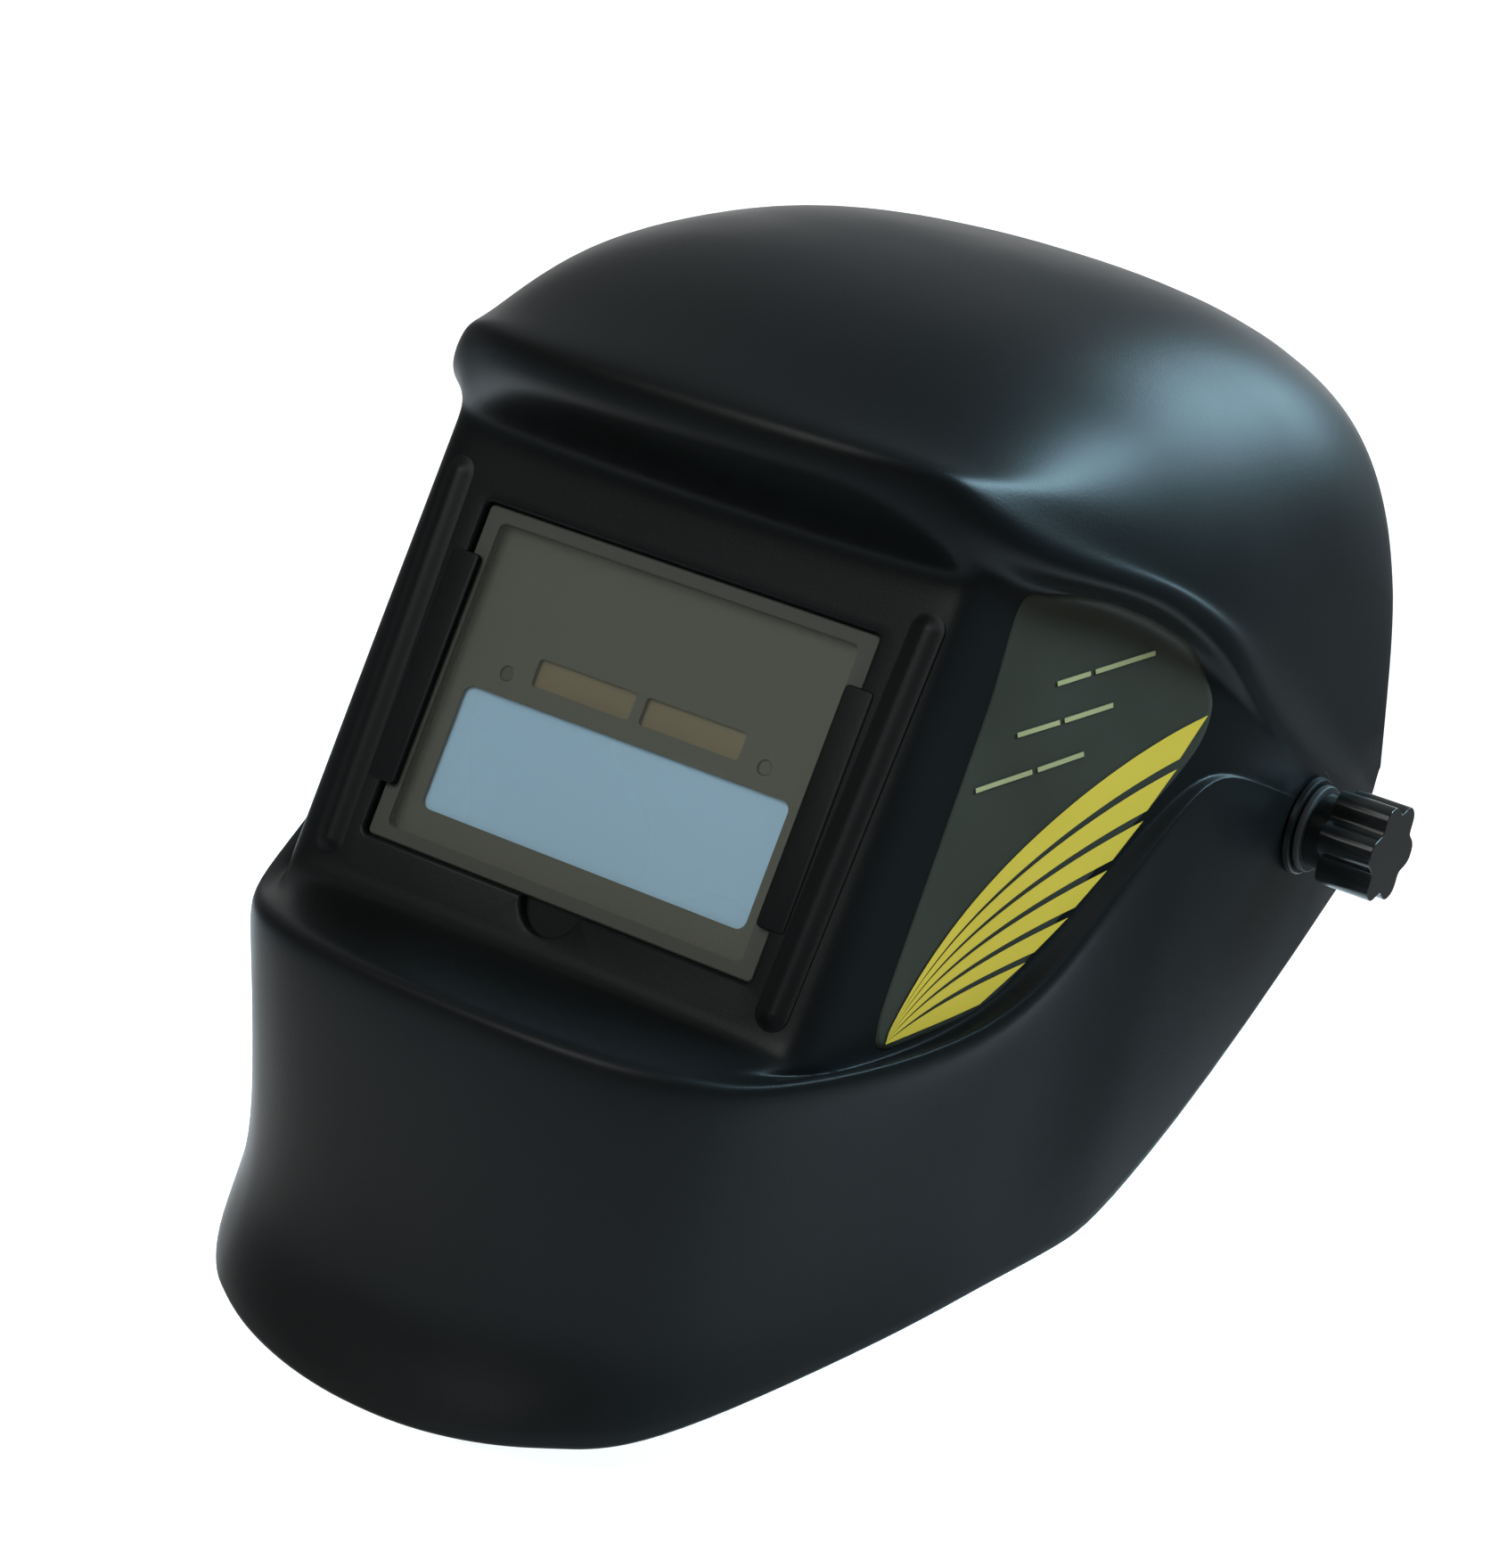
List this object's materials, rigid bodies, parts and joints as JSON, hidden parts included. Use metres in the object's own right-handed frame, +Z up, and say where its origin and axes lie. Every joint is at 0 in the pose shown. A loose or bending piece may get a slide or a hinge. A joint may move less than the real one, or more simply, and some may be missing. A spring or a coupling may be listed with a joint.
{
  "type": "welding helmet",
  "caption": "Black moulded welding helmet with a leaning clear front lens over an auto-darkening filter, hung by side pivots on a ratchet headgear.",
  "frame": {"origin": "middle of the pivot axis between the two tension knobs, where the wearer's head sits", "axes": "+Z up, the helmet looks along -Y, +X is the wearer's left"},
  "size_m": [0.278, 0.333, 0.2991],
  "materials": {
    "shell_plastic": "satin black moulded nylon, fine grain",
    "lens_clear": "clear polycarbonate",
    "decal_film": "dark printed film with yellow fanned stripes",
    "housing_plastic": "dark grey moulded",
    "filter_glass": "coated filter glass",
    "lcd_glass": "liquid crystal shutter",
    "solar_cell": "brown amorphous silicon",
    "sensor_dark": "dark photo sensor",
    "circuit_green": "green solder mask",
    "cell_steel": "nickel plated",
    "screw_steel": "zinc plated",
    "spring_steel": "bright spring wire",
    "bolt_plastic": "black moulded",
    "washer_rubber": "black rubber",
    "disc_plastic": "black moulded",
    "knob_gloss": "glossy black moulded",
    "insert_brass": "threaded insert",
    "band_plastic": "black flexible polyethylene",
    "sweat_fabric": "brushed cotton over foam"
  },
  "bodies": {
    "headband": {"headband": "band_plastic", "sweatband": "sweat_fabric", "crown_strap_left": "band_plastic", "crown_strap_right": "band_plastic", "crown_peg": "band_plastic", "crown_rivets": "bolt_plastic", "side_strap_rivets": "bolt_plastic", "side_strap_left": "band_plastic", "side_strap_right": "band_plastic"},
    "pivot_bolts": {"pivot_bolt_left": "bolt_plastic", "pivot_bolt_right": "bolt_plastic", "stop_disc_left": "disc_plastic", "stop_disc_right": "disc_plastic", "inner_washer_left": "washer_rubber", "inner_washer_right": "washer_rubber", "outer_washer_left": "washer_rubber", "outer_washer_right": "washer_rubber"},
    "shell": {"shell": "shell_plastic", "front_cover_lens": "lens_clear", "side_decal_left": "decal_film", "side_decal_right": "decal_film", "adf_front_housing": "housing_plastic", "adf_rear_housing": "housing_plastic", "uv_ir_filter_glass": "filter_glass", "lcd_shutter": "lcd_glass", "solar_cells": "solar_cell", "arc_sensors": "sensor_dark", "circuit_board": "circuit_green", "lithium_cells": "cell_steel", "cartridge_holder": "housing_plastic", "holder_screws": "screw_steel", "inner_cover_lens": "lens_clear", "retainer_frame": "housing_plastic", "spring_clip_left": "spring_steel", "spring_clip_right": "spring_steel"},
    "knob_left": {"tension_knob_left": "knob_gloss", "knob_insert_left": "insert_brass"},
    "knob_right": {"tension_knob_right": "knob_gloss", "knob_insert_right": "insert_brass"},
    "rack_left": {"rack_left": "band_plastic"},
    "rack_right": {"rack_right": "band_plastic"},
    "ratchet_unit": {"ratchet_base": "band_plastic", "ratchet_cover": "band_plastic", "ratchet_spring": "spring_steel", "ratchet_screws": "screw_steel", "nape_pad": "sweat_fabric"},
    "ratchet_knob": {"ratchet_pinion": "band_plastic", "ratchet_knob": "knob_gloss", "ratchet_knob_screw": "screw_steel"}
  },
  "joints": [
    {"name": "fore_aft_setting", "type": "slide", "parent": "headband", "child": "pivot_bolts", "axis": [0, 1, 0], "range_m": [-0.008, 0.008]},
    {"name": "shell_flip", "type": "hinge", "parent": "pivot_bolts", "child": "shell", "pos_m": [0, 0, 0], "axis": [-1, 0, 0], "range_deg": [0, 70]},
    {"name": "tension_knob_left_turn", "type": "hinge", "parent": "pivot_bolts", "child": "knob_left", "pos_m": [0.125, 0, 0], "axis": [1, 0, 0], "continuous": true},
    {"name": "tension_knob_right_turn", "type": "hinge", "parent": "pivot_bolts", "child": "knob_right", "pos_m": [-0.125, 0, 0], "axis": [-1, 0, 0], "continuous": true},
    {"name": "ratchet_slide", "type": "slide", "parent": "headband", "child": "ratchet_unit", "axis": [0, -1, 0], "range_m": [0, 0.01181]},
    {"name": "ratchet_knob_turn", "type": "hinge", "parent": "ratchet_unit", "child": "ratchet_knob", "pos_m": [0, 0.115, -0.04], "axis": [0, -1, 0], "range_deg": [0, 95]},
    {"name": "rack_left_slide", "type": "slide", "parent": "headband", "child": "rack_left", "axis": [-0.7071, -0.7071, 0], "range_m": [0, 0.01661], "deforming": ["side_strap_left"]},
    {"name": "rack_right_slide", "type": "slide", "parent": "headband", "child": "rack_right", "axis": [0.7071, -0.7071, 0], "range_m": [0, 0.01661], "deforming": ["side_strap_right"]}
  ],
  "couplings": [
    {"joint": "ratchet_slide", "follows": "ratchet_knob_turn", "m_per_rad": 0.007},
    {"joint": "rack_left_slide", "follows": "ratchet_knob_turn", "m_per_rad": 0.0098995},
    {"joint": "rack_right_slide", "follows": "ratchet_knob_turn", "m_per_rad": 0.0098995}
  ]
}
